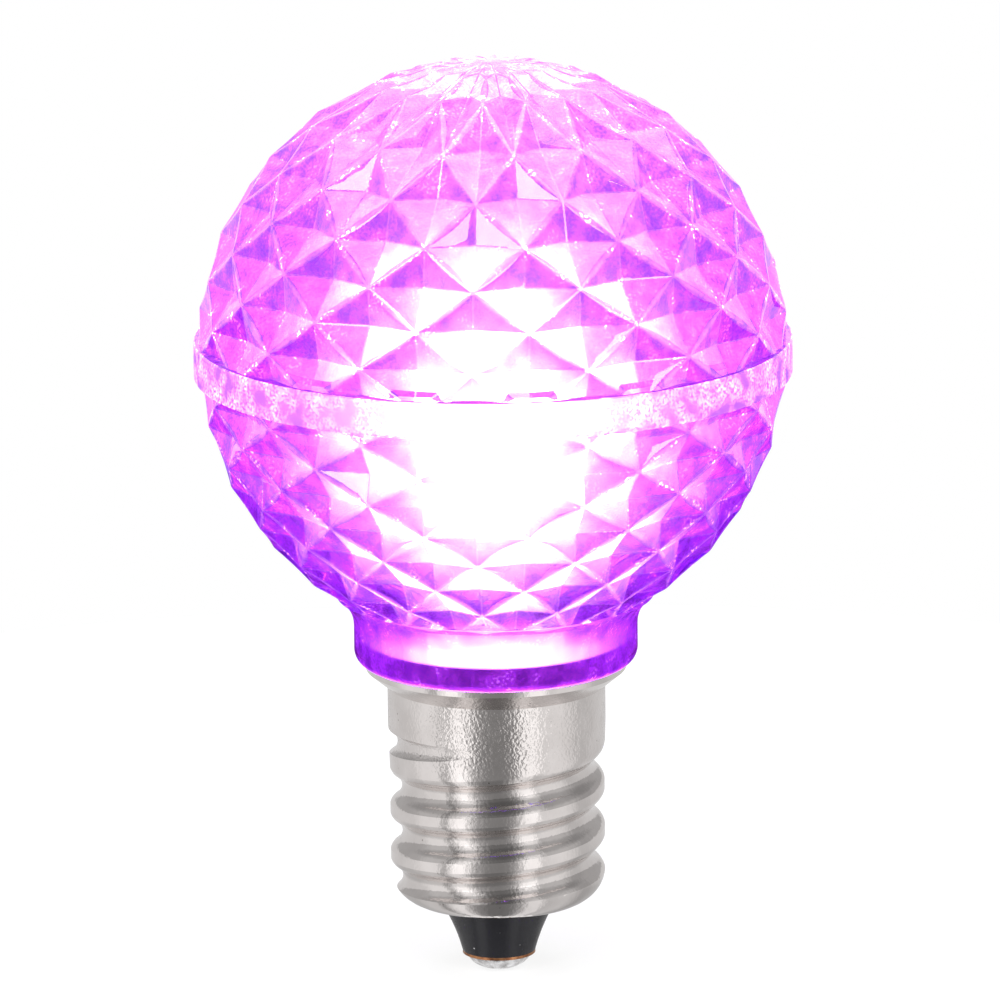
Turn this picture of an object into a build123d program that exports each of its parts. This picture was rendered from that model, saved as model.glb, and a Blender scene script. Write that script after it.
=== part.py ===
from build123d import *
from math import atan2, cos, degrees, hypot, radians, sin, sqrt
import os

# A faceted LED globe bulb on a candelabra screw base, in millimetres.
# The origin is on the axis, at the top of the metal skirt's straight wall. +Z points at the globe,
# and the front of the bulb faces -Y.

os.makedirs("parts", exist_ok=True)

# Globe: two moulded shells that meet at a smooth band round the middle
globe_radius = 16.0
bowl_step = 0.15
globe_wall = 1.9
facet_count = 16
facet_turn = 7.25
facet_slope = 0.36
dome_rows = 8
bowl_rows = 9
sunburst_radius = 5.9
sunburst_bend = 3.0
crown_inset = 0.79
dome_low_row = 0.3
band_proud = 0.1
band_above = 0.9
band_below = 1.1
band_round = 0.15
tongue_wall = 0.85
tongue_root = 0.2
seam_clearance = 0.05

# Neck, collar and spigot under the bowl
neck_round = 2.0
collar_radius = 7.67
collar_height = 2.1
collar_edge_round = 0.8
spigot_wall = 1.2
board_ledge_height = 0.2
board_ledge_width = 0.7
spigot_clearance = 0.1
spigot_end_gap = 0.2

# Metal shell: flared lip, plain skirt, rolled thread and rounded end
skirt_radius = 5.9
skirt_length = 2.0
sheet_wall = 0.3
lip_flare = 1.15
lip_height = 1.25
lip_edge = 0.3
lip_seat = 0.5
lip_throat = 0.1
thread_relief = 0.08
thread_depth = 0.65
thread_pitch = 2.54
thread_taper = 2.6
thread_lead_in = 1.32
thread_turn = 150
threaded_length = 10.1
crest_land = 0.14
crest_break = 0.03
run_out_turn = 0.3
root_wall = 0.35
end_round = 1.8
end_wall = 0.4

# Insulator and centre contact
insulator_top_radius = 3.2
insulator_tip_radius = 1.98
insulator_drop = 2.85
insulator_waist = 0.12
insulator_disc = 1.2
insulator_clearance = 0.08
eyelet_flange = 0.15
eyelet_barrel_radius = 0.75
eyelet_barrel_wall = 0.25
eyelet_crimp = 0.2
solder_radius = 1.72
solder_drop = 0.9

# Base board, lamp post and lamps
board_clearance = 0.1
base_board_thickness = 0.9
post_width = 6.4
post_wall = 0.8
post_margin = 0.8
post_tab_width = 3.6
post_tab_thickness = 1.0
post_tab_drop = 0.6
slot_clearance = 0.06
light_centre_drop = 5.0
lamps_per_side = 2
lamp_width = 5.0
lamp_length = 5.0
lamp_height = 1.4
lamp_gap = 0.8
window_radius = 2.1
window_depth = 0.8
window_clearance = 0.02

# Parts and leads under the base board
part_clearance = 0.25
rectifier_width = 4.2
rectifier_height = 1.6
rectifier_chamfer = 0.4
capacitor_length = 6.0
capacitor_angle = 125
capacitor_round = 0.3
resistor_width = 1.25
resistor_length = 2.0
resistor_height = 0.5
resistor_offset = 0.95
joint_length = 2.4
joint_reach = 0.25
joint_drop = 0.45
lead_radius = 0.25
lead_bend = 1.0
lead_end_gap = 0.05
side_lead_drop = 1.1
side_lead_bend = 0.6
centre_lead_angle = 40

# Radii that follow from the sizes above
bowl_radius = globe_radius - bowl_step
cavity_radius = globe_radius - globe_wall
band_radius = globe_radius + band_proud
tongue_radius = cavity_radius + tongue_wall
recess_radius = tongue_radius + seam_clearance
neck_reach = bowl_radius + neck_round
neck_lean = bowl_radius / neck_reach
neck_centre_radius = collar_radius + neck_round
neck_start_radius = neck_centre_radius * neck_lean
crown_radius = neck_start_radius - crown_inset
skirt_bore = skirt_radius - sheet_wall
lip_radius = skirt_radius + lip_flare
thread_crest_radius = skirt_radius - thread_relief
thread_root_radius = thread_crest_radius - thread_depth
thread_bore = thread_root_radius - root_wall
spigot_radius = skirt_bore - spigot_clearance
spigot_bore = spigot_radius - spigot_wall
neck_bore = spigot_bore + board_ledge_width
base_board_radius = neck_bore - board_clearance
insulator_hole = insulator_top_radius + insulator_clearance
insulator_bore = eyelet_barrel_radius + insulator_clearance
eyelet_bore = eyelet_barrel_radius - eyelet_barrel_wall
part_reach = spigot_bore - part_clearance
lead_reach = part_reach - lead_radius

# Heights that follow from the sizes above
shell_end = -skirt_length - threaded_length
shell_floor = shell_end + end_wall
shell_shoulder = -skirt_length
insulator_top = shell_floor + insulator_disc
insulator_tip = shell_end - insulator_drop
eyelet_top = insulator_top + eyelet_crimp
solder_top = insulator_tip - eyelet_flange
spigot_end = shell_shoulder + spigot_end_gap
collar_base = lip_height
collar_top = collar_base + collar_height
board_ledge = collar_base + board_ledge_height
base_board_top = board_ledge + base_board_thickness
globe_centre = collar_top + sqrt(neck_reach**2 - neck_centre_radius**2)
band_bottom = globe_centre - band_below
band_height = band_below + band_above
light_centre = globe_centre - light_centre_drop
lamp_pitch = lamp_length + lamp_gap
lamp_stack = lamps_per_side * lamp_pitch - lamp_gap
post_top = light_centre + lamp_stack / 2 + post_margin

# Alignments: standing on a height, or hanging from it
on_top = (Align.CENTER, Align.CENTER, Align.MIN)
below = (Align.CENTER, Align.CENTER, Align.MAX)


def even_heights(first, last, count):
    """Heights from first to last, evenly spaced."""
    return [first + (last - first) * row / (count - 1) for row in range(count)]


def facet_rings(crest_radius, heights):
    """One ring of points at each height: crests on the sphere, with a pit between each two crests."""
    half_pitch = radians(180 / facet_count)
    rise = heights[1] - heights[0]
    rings = []
    for row, height in enumerate(heights):
        crest, ahead, behind = [
            sqrt(max(crest_radius**2 - level**2, 0))
            for level in (height, height + rise, height - rise)
        ]
        half_width = crest * sin(half_pitch)
        half_height = hypot((ahead - behind) / 2, rise)
        depth = facet_slope * half_width * half_height / hypot(half_width, half_height)
        flat = (crest * cos(half_pitch) + (ahead + behind) / 2) / 2
        pit = flat - depth * crest_radius / crest
        ring = []
        for step in range(2 * facet_count):
            turn = radians(facet_turn) + step * half_pitch
            radius = crest if (step + row) % 2 == 0 else pit
            ring.append((radius * sin(turn), -radius * cos(turn), globe_centre + height))
        rings.append(ring)
    return rings


def flat_face(*points):
    """A flat face with these corners."""
    return Face(Wire.make_polygon(points, close=True))


def faceted_body(rings, petals=None, pole=None):
    """A closed body of flat facets, with a ridge from each crest to the next along the diagonals.

    Petals bend at their own ring on the way from the last ring to the pole.
    """
    faces = [flat_face(*rings[0])]
    for row, (near, far) in enumerate(zip(rings, rings[1:])):
        for step in range(len(near)):
            a, b, c, d = near[step - 1], near[step], far[step], far[step - 1]
            if (step + row) % 2 == 0:
                faces += [flat_face(a, b, d), flat_face(b, c, d)]
            else:
                faces += [flat_face(a, b, c), flat_face(a, c, d)]
    last = rings[-1]
    if pole is None:
        faces.append(flat_face(*last))
    else:
        for step in range(len(last)):
            a, b, c, d = last[step - 1], last[step], petals[step], petals[step - 1]
            faces += [flat_face(a, b, c, d), flat_face(d, c, pole)]
    return Solid(Shell(faces))


def polar(radius, angle):
    """The point at this radius and angle from +X, in degrees."""
    return radius * cos(radians(angle)), radius * sin(radians(angle))


# Dome: faceted upper shell with a sunburst at the pole, and a recess inside its band
dome_high_row = sqrt(globe_radius**2 - sunburst_radius**2)
dome_heights = even_heights(dome_low_row, dome_high_row, dome_rows)
dome_rings = facet_rings(globe_radius, dome_heights)
dome_pole = (0, 0, globe_centre + globe_radius)
petal_share = sunburst_bend / sunburst_radius
petal_height = globe_centre + sqrt(globe_radius**2 - sunburst_bend**2)
petal_ring = [(x * petal_share, y * petal_share, petal_height) for x, y, _ in dome_rings[-1]]
dome_facets = faceted_body(dome_rings, petal_ring, dome_pole)

with BuildPart() as globe_dome:
    add(dome_facets)
    with BuildSketch(Plane.XZ) as band_section:
        with Locations((cavity_radius, band_bottom)):
            Rectangle(band_radius - cavity_radius, band_height, align=(Align.MIN, Align.MIN))
        fillet(band_section.vertices().group_by(Axis.X)[-1], band_round)
    revolve(axis=Axis.Z)
    with Locations((0, 0, globe_centre)):
        Sphere(cavity_radius, mode=Mode.SUBTRACT)
    with Locations((0, 0, band_bottom)):
        Cylinder(recess_radius, band_height, align=on_top, mode=Mode.SUBTRACT)
globe_dome.part.label = "globe_dome"
export_step(globe_dome.part, "parts/globe_dome.step")

# Bowl: faceted lower shell with a tongue that enters the dome, a neck, a collar and a spigot
bowl_low_row = -sqrt(bowl_radius**2 - crown_radius**2)
bowl_heights = even_heights(0, bowl_low_row, bowl_rows)
bowl_facets = faceted_body(facet_rings(bowl_radius, bowl_heights))
neck_start_height = globe_centre - (globe_centre - collar_top) * neck_lean
collar_foot = (collar_radius - collar_edge_round, collar_base)
collar_side = (collar_radius, collar_base + collar_edge_round)

with BuildPart() as globe_bowl:
    add(bowl_facets)
    split(bisect_by=Plane.XY.offset(band_bottom), keep=Keep.BOTTOM)
    with BuildSketch(Plane.XZ) as tongue_section:
        with Locations((tongue_radius, globe_centre + band_above - seam_clearance)):
            Rectangle(
                2 * tongue_wall,
                band_height - seam_clearance + tongue_root,
                align=(Align.MAX, Align.MAX),
            )
    revolve(axis=Axis.Z)
    with BuildSketch(Plane.XZ) as neck_section:
        with BuildLine() as neck_outline:
            Polyline(
                (neck_start_radius, neck_start_height),
                (0, neck_start_height),
                (0, spigot_end),
                (spigot_radius, spigot_end),
                (spigot_radius, collar_base),
                collar_foot,
            )
            RadiusArc(collar_foot, collar_side, -collar_edge_round)
            Line(collar_side, (collar_radius, collar_top))
            RadiusArc(
                (collar_radius, collar_top), (neck_start_radius, neck_start_height), neck_round
            )
        make_face()
    revolve(axis=Axis.Z)
    with Locations((0, 0, globe_centre)):
        Sphere(cavity_radius, mode=Mode.SUBTRACT)
    with Locations((0, 0, board_ledge)):
        Cylinder(neck_bore, globe_centre - board_ledge, align=on_top, mode=Mode.SUBTRACT)
    with Locations((0, 0, spigot_end)):
        Cylinder(spigot_bore, board_ledge - spigot_end, align=on_top, mode=Mode.SUBTRACT)
globe_bowl.part.label = "globe_bowl"
export_step(globe_bowl.part, "parts/globe_bowl.step")

# Thread groove: one turn of it, and a run-out where it rises out of the skirt
groove_mouth = thread_crest_radius + crest_break
groove_depth = groove_mouth - thread_root_radius
groove_flank = thread_root_radius + groove_depth / 2
groove_half = (thread_pitch - crest_land) / 2
groove_top = -skirt_length - thread_lead_in
groove_turns = int((groove_top - shell_end) / thread_pitch) + 1
run_out_rise = run_out_turn * thread_pitch
run_out_lean = atan2(groove_depth + crest_break, run_out_rise)
run_out_slant = cos(run_out_lean)

with BuildSketch(Plane.XZ) as groove_section:
    with BuildLine() as groove_outline:
        TangentArc((groove_mouth, -groove_half), (groove_flank, -groove_half / 2), tangent=(0, 1))
        ThreePointArc(
            (groove_flank, -groove_half / 2),
            (thread_root_radius, 0),
            (groove_flank, groove_half / 2),
        )
        TangentArc((groove_mouth, groove_half), (groove_flank, groove_half / 2), tangent=(0, -1))
        Polyline(
            (groove_mouth, groove_half),
            (groove_mouth + groove_depth, groove_half),
            (groove_mouth + groove_depth, -groove_half),
            (groove_mouth, -groove_half),
        )
    make_face()

with BuildPart() as groove_of_one_turn:
    with BuildLine() as turn_path:
        Helix(thread_pitch, thread_pitch, thread_root_radius)
    sweep(groove_section.sketch, path=turn_path.line, is_frenet=True)

with BuildPart() as groove_run_out:
    with BuildLine() as run_out_path:
        Helix(
            thread_pitch / run_out_slant,
            run_out_rise / run_out_slant,
            thread_root_radius,
            cone_angle=degrees(run_out_lean),
        )
    sweep(groove_section.sketch, path=run_out_path.line, is_frenet=True)

# Metal shell: turned outside, the rolled thread, then the hollow
with BuildPart() as screw_shell:
    with BuildSketch(Plane.XZ) as shell_section:
        with BuildLine() as shell_outline:
            Polyline(
                (thread_crest_radius - end_round, shell_end),
                (0, shell_end),
                (0, lip_height),
                (lip_radius, lip_height),
                (lip_radius, lip_height - lip_edge),
                (skirt_radius, 0),
                (skirt_radius, -skirt_length),
                (thread_crest_radius, -skirt_length - thread_taper),
                (thread_crest_radius, shell_end + end_round),
            )
            RadiusArc(
                (thread_crest_radius, shell_end + end_round),
                (thread_crest_radius - end_round, shell_end),
                end_round,
            )
        make_face()
    revolve(axis=Axis.Z)
    for turn in range(1, groove_turns + 1):
        with Locations(Location((0, 0, groove_top - turn * thread_pitch), (0, 0, thread_turn))):
            add(groove_of_one_turn.part, mode=Mode.SUBTRACT)
    with Locations(Location((0, 0, groove_top), (0, 0, thread_turn))):
        add(groove_run_out.part, mode=Mode.SUBTRACT)
    with BuildSketch(Plane.XZ) as hollow_section:
        with BuildLine() as hollow_outline:
            Polyline(
                (0, shell_end),
                (insulator_hole, shell_end),
                (insulator_hole, shell_floor),
                (thread_bore, shell_floor),
                (thread_bore, shell_shoulder),
                (skirt_bore, shell_shoulder),
                (skirt_bore, lip_throat),
                (lip_radius - lip_seat, lip_height),
                (0, lip_height),
                close=True,
            )
        make_face()
    revolve(axis=Axis.Z, mode=Mode.SUBTRACT)
screw_shell.part.label = "screw_shell"
export_step(screw_shell.part, "parts/screw_shell.step")

# Insulator: a disc inside the shell's end and a hollow-sided cone below it
insulator_rim = thread_bore - insulator_clearance
insulator_middle = (
    (insulator_top_radius + insulator_tip_radius) / 2 - insulator_waist,
    (shell_end + insulator_tip) / 2,
)

with BuildPart() as cap_insulator:
    with BuildSketch(Plane.XZ) as insulator_section:
        with BuildLine() as insulator_outline:
            ThreePointArc(
                (insulator_top_radius, shell_end),
                insulator_middle,
                (insulator_tip_radius, insulator_tip),
            )
            Polyline(
                (insulator_tip_radius, insulator_tip),
                (insulator_bore, insulator_tip),
                (insulator_bore, insulator_top),
                (insulator_rim, insulator_top),
                (insulator_rim, shell_floor),
                (insulator_top_radius, shell_floor),
                (insulator_top_radius, shell_end),
            )
        make_face()
    revolve(axis=Axis.Z)
cap_insulator.part.label = "cap_insulator"
export_step(cap_insulator.part, "parts/cap_insulator.step")

# Centre contact: a copper eyelet through the insulator, capped by a drop of solder
with BuildPart() as contact_eyelet:
    with Locations((0, 0, solder_top)):
        Cylinder(insulator_tip_radius, eyelet_flange, align=on_top)
        Cylinder(eyelet_barrel_radius, eyelet_top - solder_top, align=on_top)
        Cylinder(eyelet_bore, eyelet_top - solder_top, align=on_top, mode=Mode.SUBTRACT)
contact_eyelet.part.label = "contact_eyelet"
export_step(contact_eyelet.part, "parts/contact_eyelet.step")

with BuildPart() as contact_solder:
    with BuildSketch(Plane.XZ) as solder_section:
        with BuildLine() as solder_outline:
            Polyline((0, solder_top - solder_drop), (0, solder_top), (solder_radius, solder_top))
            EllipticalCenterArc(
                (0, solder_top), solder_radius, solder_drop, start_angle=270, arc_size=90
            )
        make_face()
    revolve(axis=Axis.Z)
contact_solder.part.label = "contact_solder"
export_step(contact_solder.part, "parts/contact_solder.step")

# Base board: a disc on the neck's ledge, with a slot for the lamp post's tab
with BuildPart() as base_board:
    with Locations((0, 0, board_ledge)):
        Cylinder(base_board_radius, base_board_thickness, align=on_top)
        Box(
            post_tab_width + 2 * slot_clearance,
            post_tab_thickness + 2 * slot_clearance,
            base_board_thickness,
            align=on_top,
            mode=Mode.SUBTRACT,
        )
base_board.part.label = "base_board"
export_step(base_board.part, "parts/base_board.step")

# Lamp post: a square tube with a floor, and a tab that goes through the base board
post_bore = post_width - 2 * post_wall

with BuildPart() as lamp_post:
    with Locations((0, 0, base_board_top)):
        Box(post_width, post_width, post_top - base_board_top, align=on_top)
        Box(
            post_tab_width,
            post_tab_thickness,
            base_board_thickness + post_tab_drop,
            align=below,
        )
    with Locations((0, 0, base_board_top + post_wall)):
        Box(post_bore, post_bore, post_top - base_board_top, align=on_top, mode=Mode.SUBTRACT)
lamp_post.part.label = "lamp_post"
export_step(lamp_post.part, "parts/lamp_post.step")

# Lamps on the post's four sides: a white housing with a round well, and a clear window that fills it
for side, facing in (("right", 0), ("back", 90), ("left", 180), ("front", 270)):
    for number in range(1, lamps_per_side + 1):
        lamp_level = light_centre + lamp_pitch * (number - (lamps_per_side + 1) / 2)
        lamp_seat = Plane(
            origin=(*polar(post_width / 2, facing), lamp_level),
            x_dir=(*polar(1, facing + 90), 0),
            z_dir=(*polar(1, facing), 0),
        )
        well_floor = lamp_seat.offset(lamp_height - window_depth)

        with BuildPart() as led_housing:
            with BuildSketch(lamp_seat):
                Rectangle(lamp_width, lamp_length)
            extrude(amount=lamp_height)
            with BuildSketch(well_floor):
                Circle(window_radius)
            extrude(amount=window_depth, mode=Mode.SUBTRACT)
        led_housing.part.label = f"led_housing_{side}_{number}"
        export_step(led_housing.part, f"parts/led_housing_{side}_{number}.step")

        with BuildPart() as led_window:
            with BuildSketch(well_floor):
                Circle(window_radius - window_clearance)
            extrude(amount=window_depth)
        led_window.part.label = f"led_window_{side}_{number}"
        export_step(led_window.part, f"parts/led_window_{side}_{number}.step")

# Rectifier, capacitor and resistor under the base board, inside the spigot's bore
tab_face = post_tab_thickness / 2
part_near = tab_face + joint_reach + part_clearance
rectifier_depth = sqrt(part_reach**2 - (rectifier_width / 2) ** 2) - part_near
capacitor_lean = sin(radians(capacitor_angle))
capacitor_radius = (part_reach * capacitor_lean - part_near) / (1 + capacitor_lean)
capacitor_place = polar(part_reach - capacitor_radius, capacitor_angle)

with BuildPart() as bridge_rectifier:
    with Locations((0, -part_near, board_ledge)):
        Box(
            rectifier_width,
            rectifier_depth,
            rectifier_height,
            align=(Align.CENTER, Align.MAX, Align.MAX),
        )
    chamfer(bridge_rectifier.faces().sort_by(Axis.Z)[0].edges(), rectifier_chamfer)
bridge_rectifier.part.label = "bridge_rectifier"
export_step(bridge_rectifier.part, "parts/bridge_rectifier.step")

with BuildPart() as smoothing_capacitor:
    with Locations((*capacitor_place, board_ledge)):
        Cylinder(capacitor_radius, capacitor_length, align=below)
    fillet(smoothing_capacitor.edges().filter_by(GeomType.CIRCLE), capacitor_round)
smoothing_capacitor.part.label = "smoothing_capacitor"
export_step(smoothing_capacitor.part, "parts/smoothing_capacitor.step")

with BuildPart() as series_resistor:
    with Locations((resistor_offset, part_near, board_ledge)):
        Box(
            resistor_width,
            resistor_length,
            resistor_height,
            align=(Align.CENTER, Align.MIN, Align.MAX),
        )
series_resistor.part.label = "series_resistor"
export_step(series_resistor.part, "parts/series_resistor.step")

# Solder joints along both faces of the tab, under the base board
with BuildPart() as board_solder:
    with BuildSketch(Plane.YZ) as joint_section:
        with BuildLine() as joint_outline:
            Polyline(
                (tab_face + joint_reach, board_ledge),
                (tab_face, board_ledge),
                (tab_face, board_ledge - joint_drop),
                close=True,
            )
        make_face()
    extrude(amount=joint_length / 2, both=True)
    mirror(about=Plane.XZ)
board_solder.part.label = "board_solder"
export_step(board_solder.part, "parts/board_solder.step")

# Leads: one to the inside of the metal shell, one down the axis to the eyelet
side_lead_end = thread_bore - lead_end_gap
side_lead_level = shell_shoulder - side_lead_drop
centre_lead_start = polar(lead_reach, centre_lead_angle)

with BuildPart() as side_lead:
    with BuildLine() as side_path:
        FilletPolyline(
            (lead_reach, 0, board_ledge),
            (lead_reach, 0, side_lead_level),
            (side_lead_end, 0, side_lead_level),
            radius=side_lead_bend,
        )
    with BuildSketch(Plane.XY.offset(board_ledge)):
        with Locations((lead_reach, 0)):
            Circle(lead_radius)
    sweep()
side_lead.part.label = "side_lead"
export_step(side_lead.part, "parts/side_lead.step")

with BuildPart() as centre_lead:
    with BuildLine() as centre_path:
        FilletPolyline(
            (*centre_lead_start, board_ledge),
            (*centre_lead_start, board_ledge - capacitor_length),
            (0, 0, eyelet_top + lead_bend),
            (0, 0, solder_top),
            radius=lead_bend,
        )
    with BuildSketch(Plane.XY.offset(board_ledge)):
        with Locations(centre_lead_start):
            Circle(lead_radius)
    sweep()
centre_lead.part.label = "centre_lead"
export_step(centre_lead.part, "parts/centre_lead.step")
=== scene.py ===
"""Looks of a faceted LED globe bulb on a candelabra screw base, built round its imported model."""

import math
import random
from math import cos, hypot, pi, radians, sin, sqrt

import bmesh
import bpy
from bpy.props import FloatProperty, FloatVectorProperty, IntProperty, PointerProperty
from mathutils import Matrix, Vector


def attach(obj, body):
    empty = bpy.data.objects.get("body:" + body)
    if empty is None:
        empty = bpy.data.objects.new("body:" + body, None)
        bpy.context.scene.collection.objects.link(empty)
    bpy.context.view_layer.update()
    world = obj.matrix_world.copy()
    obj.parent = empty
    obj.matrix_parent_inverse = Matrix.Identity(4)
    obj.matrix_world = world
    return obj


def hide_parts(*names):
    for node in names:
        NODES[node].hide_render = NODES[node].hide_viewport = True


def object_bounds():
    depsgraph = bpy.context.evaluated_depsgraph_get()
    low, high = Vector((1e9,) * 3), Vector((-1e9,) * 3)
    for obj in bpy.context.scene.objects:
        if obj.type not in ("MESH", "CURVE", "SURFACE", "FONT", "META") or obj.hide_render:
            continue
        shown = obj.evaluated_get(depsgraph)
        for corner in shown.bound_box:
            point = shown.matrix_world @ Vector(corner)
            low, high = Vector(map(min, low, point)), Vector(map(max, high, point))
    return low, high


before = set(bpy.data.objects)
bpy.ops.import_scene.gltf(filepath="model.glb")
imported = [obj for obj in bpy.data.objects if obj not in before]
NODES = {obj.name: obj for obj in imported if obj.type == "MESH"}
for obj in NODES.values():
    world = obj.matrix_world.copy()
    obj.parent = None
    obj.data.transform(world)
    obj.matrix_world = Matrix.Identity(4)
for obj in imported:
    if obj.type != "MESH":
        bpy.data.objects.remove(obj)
CAD_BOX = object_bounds()

bl_info = {
    "name": "Faceted globe bulb",
    "version": (1, 0, 0),
    "blender": (4, 5, 0),
    "location": "View3D > Sidebar > Bulb",
    "description": "Builds the looks of a lit faceted globe bulb round its packed model",
    "category": "Object",
}

MM = 0.001


def length(name, description, default):
    """A size in metres."""
    return FloatProperty(
        name=name, description=description, default=default, precision=5, subtype="DISTANCE", unit="LENGTH"
    )


def colour(name, description, default):
    """A linear colour."""
    return FloatVectorProperty(
        name=name, description=description, default=default, size=3, min=0, soft_max=1, subtype="COLOR"
    )


def amount(name, description, default):
    """A plain number."""
    return FloatProperty(name=name, description=description, default=default, precision=3)


def angle(name, description, degrees):
    """An angle, given in degrees."""
    return FloatProperty(name=name, description=description, default=radians(degrees), subtype="ANGLE")


class BulbGlobeSettings(bpy.types.PropertyGroup):
    """Sizes and colours of the faceted globe."""

    radius: length("Radius", "Radius over the facets' crests", 16.0 * MM)
    bowl_step: length("Bowl step", "How far the bowl's crests lie inside the dome's", 0.15 * MM)
    wall: length("Wall", "From the crests to the hollow", 1.9 * MM)
    band_proud: length("Band proud", "How far the band stands out", 0.1 * MM)
    band_above: length("Band above", "Height of the band over the globe's centre", 0.9 * MM)
    band_below: length("Band below", "Depth of the band under the globe's centre", 1.1 * MM)
    facet_count: IntProperty(name="Facets", description="Pits round the globe", default=16, min=6)
    facet_turn: angle("Turn", "Turn of the first crest from the front", 7.25)
    facet_slope: amount("Slope", "Slope of the facets against the globe", 0.36)
    ridge_width: length("Ridge width", "Width of a ridge's land at its middle", 0.5 * MM)
    ridge_end: length("Ridge end", "Width of a ridge's land at its ends", 0.14 * MM)
    valley_width: length("Valley width", "Width of the crease between facets", 0.1 * MM)
    tint: colour("Tint", "Colour of the clear plastic's faces", (0.65, 0.37, 0.96))
    tint_deep: colour("Deep tint", "Colour where it is deeper", (0.55, 0.25, 0.95))
    stain: colour("Stain", "Colour that one wall's depth of plastic lets through", (0.79, 0.37, 0.97))
    glow: colour("Glow", "Colour of the light in the plastic", (0.54, 0.045, 1.0))
    # The pale glow is painted light on the ridges and in small painted glints
    glow_pale: colour("Pale glow", "Colour of the light on ridges and flecks", (0.75, 0.32, 1.0))
    haze: amount("Haze", "Roughness of the inner face's hazy spots", 0.58)
    haze_gap: amount("Haze gap", "Share of the inner face that stays clear", 0.36)
    dish: length("Dish", "How far a facet bends at most", 0.05 * MM)
    index: amount("Index", "Refractive index of the plastic", 1.49)
    lamp_drop: length("Lamp drop", "Depth of the lamps' middle under the globe's centre", 5.0 * MM)
    petal_rise: length("Petal rise", "Height of the sunburst over the globe's centre", 14.7 * MM)
    petal_throw: amount("Petal throw", "Share of light that the sunburst spreads", 0.7)
    throw_lift: angle("Throw lift", "Lift at which a facet's thrown light shows most", 20)
    throw_spread: angle("Throw spread", "Spread of the thrown light", 26)


class BulbBaseSettings(bpy.types.PropertyGroup):
    """Colours of the screw base."""

    nickel: colour("Nickel", "Colour of the plated shell", (0.76, 0.725, 0.71))
    nickel_dark: colour("Dull nickel", "Colour where it is dull", (0.68, 0.645, 0.63))
    nickel_worn: colour("Worn nickel", "Colour of its worn specks", (0.16, 0.14, 0.12))
    insulator: colour("Insulator", "Colour of the black cone", (0.012, 0.012, 0.014))
    dust: colour("Dust", "Colour of its dust", (0.5, 0.5, 0.5))
    copper: colour("Copper", "Colour of the eyelet", (0.62, 0.30, 0.14))
    copper_dark: colour("Dull copper", "Colour where it is dull", (0.30, 0.12, 0.06))
    solder: colour("Solder", "Colour of the contact's tip", (0.84, 0.84, 0.85))
    solder_dark: colour("Dull solder", "Colour where it is dull", (0.30, 0.29, 0.29))


class BulbLampSettings(bpy.types.PropertyGroup):
    """Colours and strengths of the light source."""

    pale: colour("Pale", "Colour of the lamps and the boards", (0.95, 0.94, 0.97))
    pale_dark: colour("Dull pale", "Colour where they are dull", (0.8, 0.8, 0.85))
    unlit: colour("Unlit", "Colour of the boards where no light falls", (0.12, 0.10, 0.10))
    light: colour("Light", "Colour of the lit lamps by themselves", (0.75, 0.5, 1.0))
    light_strength: amount("Light strength", "Brightness of the lit lamps by themselves", 3.0)
    through: colour("Through", "Light that comes out white through the violet wall", (0.5, 1.0, 0.26))
    window_strength: amount("Window strength", "Brightness of the windows through the wall", 120.0)
    housing_strength: amount("Housing strength", "Brightness of the housings through the wall", 80.0)
    board_strength: amount("Board strength", "Brightness of the boards through the wall", 30.0)


class BulbStageSettings(bpy.types.PropertyGroup):
    """The floor, the light and the camera."""

    elevation: angle("Elevation", "Height of the view", 13.75)
    roll: angle("Roll", "Lean of the view", -0.58)
    distance: length("Distance", "From the camera to the bulb", 0.65)
    lens: amount("Lens", "Focal length of the camera in millimetres", 434.0)
    floor: colour("Floor", "Colour of the floor", (0.93, 0.93, 0.93))
    floor_dark: colour("Dull floor", "Colour where it is dull", (0.9, 0.9, 0.9))


# Shader building


def place(tree, kind, inputs=(), **fields):
    """A new node with these fields, and its inputs set to values or linked from sockets."""
    node = tree.nodes.new(kind)
    for key, value in fields.items():
        setattr(node, key, value)
    for key, value in dict(inputs).items():
        if isinstance(value, bpy.types.NodeSocket):
            tree.links.new(value, node.inputs[key])
        else:
            node.inputs[key].default_value = value
    return node


def math_node(tree, operation, *values):
    """The result of a math node on these values or sockets."""
    return place(tree, "ShaderNodeMath", enumerate(values), operation=operation).outputs[0]


def chain(tree, operation, first, *others):
    """The result of one math operation over all these values."""
    for other in others:
        first = math_node(tree, operation, first, other)
    return first


def weigh(tree, value, factor, offset):
    """A value times a factor, plus an offset."""
    return math_node(tree, "MULTIPLY_ADD", value, factor, offset)


def scaled(tree, value, factor):
    """A colour or a vector times a factor."""
    return place(tree, "ShaderNodeVectorMath", {0: value, "Scale": factor}, operation="SCALE").outputs[0]


def mix_colour(tree, share, first, second):
    """The result of mixing two colours."""
    return place(tree, "ShaderNodeMix", {0: share, 6: first, 7: second}, data_type="RGBA").outputs[2]


WHITE = (1, 1, 1, 1)


def rgba(values):
    """A colour with full alpha."""
    return (*values, 1.0)


def new_group(name, result, **inputs):
    """A shader node group with these inputs, given by their defaults, and its input and output nodes."""
    tree = bpy.data.node_groups.new(name, "ShaderNodeTree")
    for socket, default in inputs.items():
        kind = "NodeSocketVector" if isinstance(default, tuple) else "NodeSocketFloat"
        tree.interface.new_socket(socket, in_out="INPUT", socket_type=kind).default_value = default
    tree.interface.new_socket(result, in_out="OUTPUT", socket_type="NodeSocketFloat")
    return tree, tree.nodes.new("NodeGroupInput"), tree.nodes.new("NodeGroupOutput")


# Where nearly all of a noise texture's values lie
NOISE_RANGE = (0.3, 0.7)
# Share of a speck's radius within which it is full
SPECK_CORE = 0.4


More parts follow.
